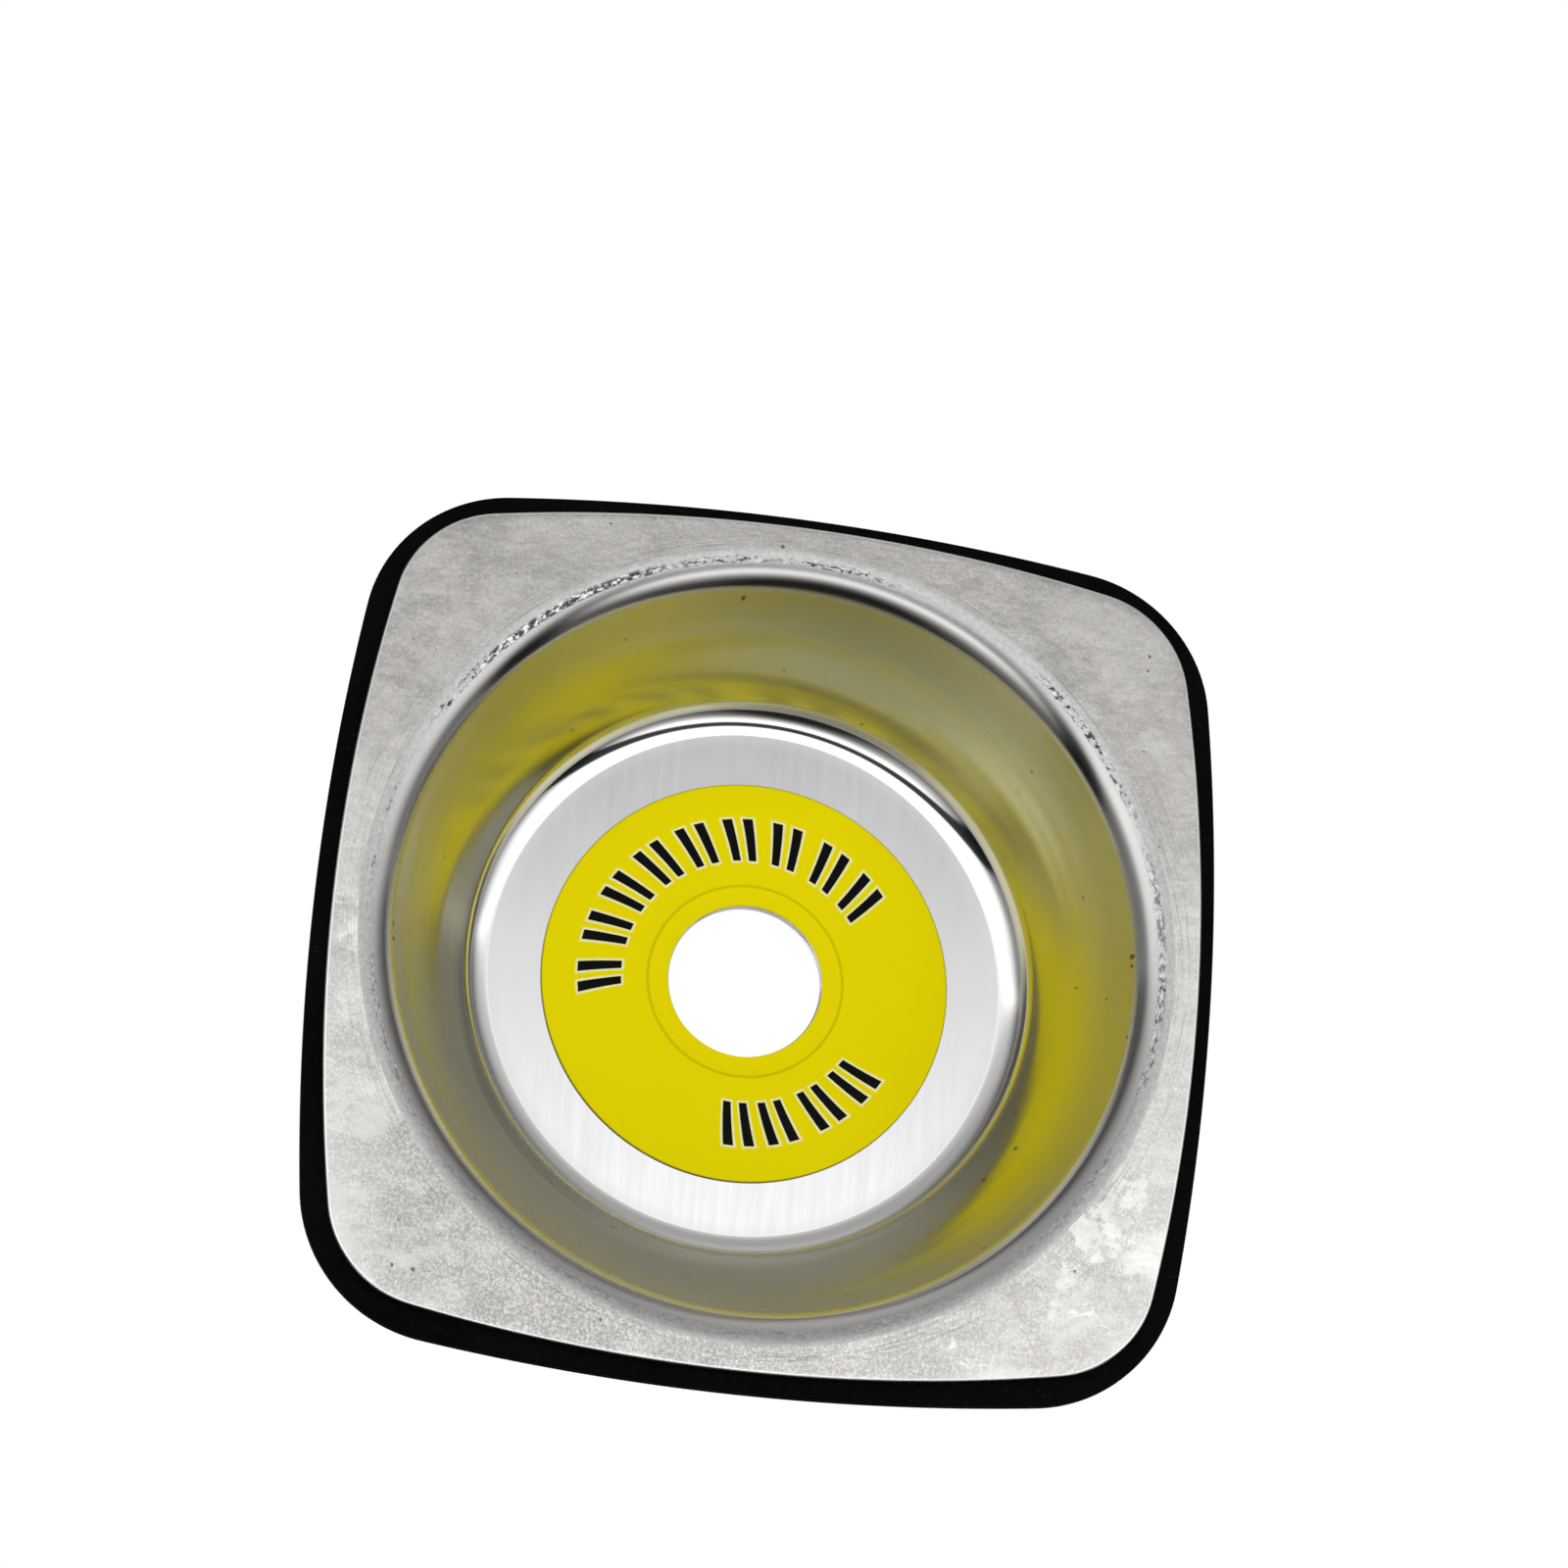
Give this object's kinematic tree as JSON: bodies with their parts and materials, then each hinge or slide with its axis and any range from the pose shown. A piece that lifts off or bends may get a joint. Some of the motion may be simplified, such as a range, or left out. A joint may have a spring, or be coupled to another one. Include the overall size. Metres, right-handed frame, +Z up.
{
  "type": "recessed emergency stop housing",
  "caption": "Recessed stainless cup with a bowed square flange, gasket and yellow legend, for a 22 mm emergency stop button in a panel.",
  "frame": {"origin": "on the cup's axis, in the plane of the panel's front face, which is the gasket's rear face", "axes": "+Z up, front towards -Y, the cup reaches into the panel along +Y, +X to the right seen from the front"},
  "size_m": [0.1286, 0.0264, 0.1286],
  "materials": {
    "stainless": "satin stainless, lightly scratched, polished wall",
    "gasket_rubber": "matte black rubber",
    "legend": "satin yellow with black marks",
    "adhesive": "translucent film",
    "stud_steel": "rolled thread, bright",
    "zinc_steel": "bright zinc plate"
  },
  "bodies": {
    "root": {"recess_cup": "stainless", "flange_gasket": "gasket_rubber", "legend_adhesive": "adhesive", "legend_disc": "legend", "weld_stud_upper_left": "stud_steel", "weld_stud_upper_right": "stud_steel", "weld_stud_lower_right": "stud_steel", "weld_stud_lower_left": "stud_steel"},
    "washers_upper_left": {"flat_washer_upper_left": "zinc_steel", "lock_washer_upper_left": "zinc_steel"},
    "nut_upper_left": {"hex_nut_upper_left": "zinc_steel"},
    "washers_upper_right": {"flat_washer_upper_right": "zinc_steel", "lock_washer_upper_right": "zinc_steel"},
    "nut_upper_right": {"hex_nut_upper_right": "zinc_steel"},
    "washers_lower_right": {"flat_washer_lower_right": "zinc_steel", "lock_washer_lower_right": "zinc_steel"},
    "nut_lower_right": {"hex_nut_lower_right": "zinc_steel"},
    "washers_lower_left": {"flat_washer_lower_left": "zinc_steel", "lock_washer_lower_left": "zinc_steel"},
    "nut_lower_left": {"hex_nut_lower_left": "zinc_steel"}
  },
  "joints": [
    {"name": "stack_slide_upper_left", "type": "slide", "parent": "root", "child": "washers_upper_left", "axis": [0, 1, 0], "range_m": [0, 0.0042]},
    {"name": "nut_turn_upper_left", "type": "hinge", "parent": "washers_upper_left", "child": "nut_upper_left", "pos_m": [-0.046, 0.0034, 0.046], "axis": [0, 1, 0], "range_deg": [0, 2165]},
    {"name": "stack_slide_upper_right", "type": "slide", "parent": "root", "child": "washers_upper_right", "axis": [0, 1, 0], "range_m": [0, 0.0042]},
    {"name": "nut_turn_upper_right", "type": "hinge", "parent": "washers_upper_right", "child": "nut_upper_right", "pos_m": [0.046, 0.0034, 0.046], "axis": [0, 1, 0], "range_deg": [0, 2165]},
    {"name": "stack_slide_lower_right", "type": "slide", "parent": "root", "child": "washers_lower_right", "axis": [0, 1, 0], "range_m": [0, 0.0042]},
    {"name": "nut_turn_lower_right", "type": "hinge", "parent": "washers_lower_right", "child": "nut_lower_right", "pos_m": [0.046, 0.0034, -0.046], "axis": [0, 1, 0], "range_deg": [0, 2165]},
    {"name": "stack_slide_lower_left", "type": "slide", "parent": "root", "child": "washers_lower_left", "axis": [0, 1, 0], "range_m": [0, 0.0042]},
    {"name": "nut_turn_lower_left", "type": "hinge", "parent": "washers_lower_left", "child": "nut_lower_left", "pos_m": [-0.046, 0.0034, -0.046], "axis": [0, 1, 0], "range_deg": [0, 2165]}
  ],
  "couplings": [
    {"joint": "nut_turn_upper_left", "follows": "stack_slide_upper_left", "rad_per_m": 8976},
    {"joint": "nut_turn_upper_right", "follows": "stack_slide_upper_right", "rad_per_m": 8976},
    {"joint": "nut_turn_lower_right", "follows": "stack_slide_lower_right", "rad_per_m": 8976},
    {"joint": "nut_turn_lower_left", "follows": "stack_slide_lower_left", "rad_per_m": 8976}
  ]
}
